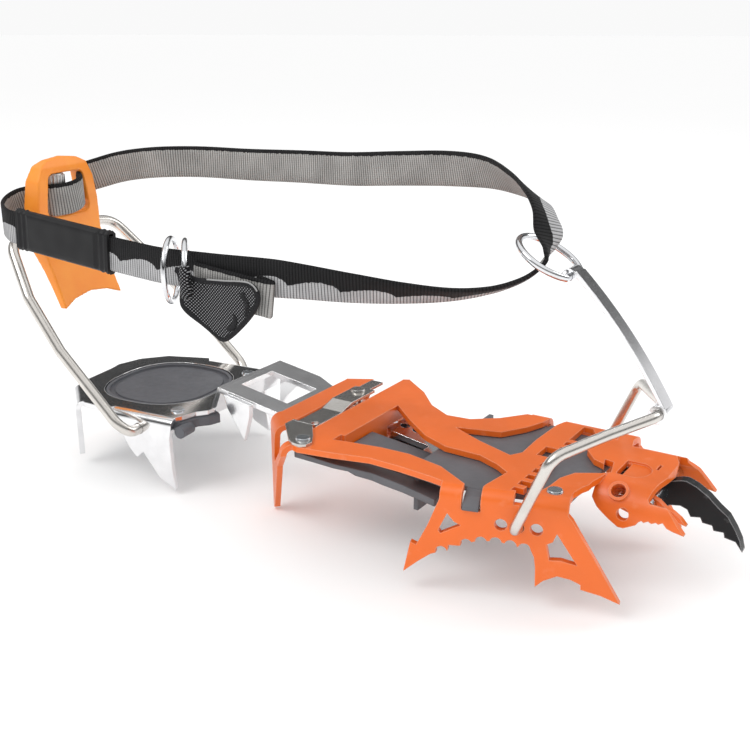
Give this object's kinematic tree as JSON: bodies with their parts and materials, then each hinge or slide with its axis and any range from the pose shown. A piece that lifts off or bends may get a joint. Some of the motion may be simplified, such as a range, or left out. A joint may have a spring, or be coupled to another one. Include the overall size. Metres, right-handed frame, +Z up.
{
  "type": "crampon",
  "caption": "Technical step-in crampon for a right boot: folded spiked front and heel plates joined by an adjustable bar, with wire toe bail, heel bail with lever, and a safety strap.",
  "frame": {"origin": "in the plane the boot sole rests on over the front section, on the boot's long axis, 14 mm behind the toe bail pivot", "axes": "+X towards the toe, +Y towards the inner side of the right foot, +Z up away from the snow"},
  "size_m": [0.3441, 0.1122, 0.1531],
  "materials": {
    "frame_orange": "satin powder coat over steel",
    "antiball_plastic": "fine moulded grain",
    "point_black": "satin black coat",
    "fastener_steel": "satin",
    "latch_steel": "satin nickel",
    "rear_steel": "polished",
    "wire_steel": "satin drawn wire",
    "strip_steel": "bright polished",
    "lever_plastic": "semi-gloss moulded",
    "adjuster_steel": "bead-blasted, ribbed",
    "strap_webbing": "woven, grey and black",
    "keeper_rubber": "matt",
    "tab_fabric": "coarse woven"
  },
  "bodies": {
    "front_section": {"front_frame": "frame_orange", "front_antiball_plate": "antiball_plastic", "front_point": "point_black", "point_cheek_plate": "frame_orange", "front_point_bolts": "fastener_steel", "front_point_nuts": "fastener_steel", "front_point_spacers": "fastener_steel", "frame_rivets": "fastener_steel", "latch_anchor": "latch_steel", "latch_rivet": "fastener_steel"},
    "latch": {"latch_spring": "latch_steel", "latch_pin": "latch_steel"},
    "rear_section": {"rear_frame": "rear_steel", "heel_antiball_plate": "antiball_plastic", "heel_rivets": "fastener_steel"},
    "toe_bail": {"toe_bail": "wire_steel"},
    "toe_strip": {"toe_strip": "strip_steel"},
    "toe_ring": {"toe_ring": "wire_steel"},
    "heel_bail": {"heel_bail": "wire_steel"},
    "heel_lever": {"heel_lever": "lever_plastic"},
    "adjuster_wheel": {"adjuster_wheel": "adjuster_steel"},
    "adjuster_stem": {"adjuster_stem": "fastener_steel"},
    "strap": {"strap_webbing": "strap_webbing", "strap_tail": "strap_webbing"},
    "strap_keeper": {"strap_keeper": "keeper_rubber"},
    "pull_tab": {"pull_tab": "tab_fabric"},
    "buckle_ring_rear": {"buckle_ring_rear": "wire_steel"},
    "buckle_ring_front": {"buckle_ring_front": "wire_steel"}
  },
  "joints": [
    {"name": "latch_lift", "type": "hinge", "parent": "front_section", "child": "latch", "pos_m": [-0.091, -0.0269, 0.00003], "axis": [1, 0, 0], "range_deg": [0, 10]},
    {"name": "length_adjust", "type": "slide", "parent": "front_section", "child": "rear_section", "axis": [-0.9877, 0, 0.1564], "range_m": [0, 0.0189]},
    {"name": "toe_bail_swing", "type": "hinge", "parent": "front_section", "child": "toe_bail", "pos_m": [0.0142, 0, -0.0122], "axis": [0, 1, 0], "range_deg": [-45, 26]},
    {"name": "toe_strip_swing", "type": "hinge", "parent": "toe_bail", "child": "toe_strip", "pos_m": [0.0495, 0, 0.0261], "axis": [0, 1, 0], "range_deg": [-15, 20]},
    {"name": "toe_ring_swing", "type": "hinge", "parent": "toe_strip", "child": "toe_ring", "pos_m": [0.011, 0.005, 0.0706], "axis": [0, 1, 0], "range_deg": [-20, 30]},
    {"name": "heel_bail_swing", "type": "hinge", "parent": "rear_section", "child": "heel_bail", "pos_m": [-0.17813, 0.00023, -0.015], "axis": [-0.1097, 0.994, 0], "range_deg": [-50, 12]},
    {"name": "heel_lever_flip", "type": "hinge", "parent": "heel_bail", "child": "heel_lever", "pos_m": [-0.25019, -0.00773, 0.064], "axis": [-0.1097, 0.994, 0], "range_deg": [-30, 6]},
    {"name": "adjuster_spin", "type": "hinge", "parent": "heel_lever", "child": "adjuster_wheel", "pos_m": [-0.24997, -0.00971, 0.085], "axis": [0, 0, 1], "range_deg": [-720, 720]},
    {"name": "adjuster_rise", "type": "slide", "parent": "heel_lever", "child": "adjuster_stem", "axis": [0, 0, 1], "range_m": [-0.0017, 0.0017]},
    {"name": "strap_fold", "type": "hinge", "parent": "heel_lever", "child": "strap", "pos_m": [-0.261, 0.002, 0.073], "axis": [0, 1, 0], "range_deg": [-12, 2], "deforming": ["strap_webbing"]},
    {"name": "keeper_slide", "type": "slide", "parent": "strap", "child": "strap_keeper", "axis": [0.9973, -0.0116, -0.0719], "range_m": [0, 0.015]},
    {"name": "pull_tab_flap", "type": "hinge", "parent": "strap", "child": "pull_tab", "pos_m": [-0.1215, -0.0518, 0.06], "axis": [0, 0, 1], "range_deg": [-50, 0]},
    {"name": "ring_rear_swing", "type": "hinge", "parent": "strap", "child": "buckle_ring_rear", "pos_m": [-0.1384, -0.0488, 0.0644], "axis": [0, 1, 0], "range_deg": [-6, 6]},
    {"name": "ring_front_swing", "type": "hinge", "parent": "strap", "child": "buckle_ring_front", "pos_m": [-0.1306, -0.0484, 0.0644], "axis": [0, 1, 0], "range_deg": [-6, 6]}
  ],
  "couplings": [
    {"joint": "adjuster_rise", "follows": "adjuster_spin", "m_per_rad": 0.00012732}
  ]
}
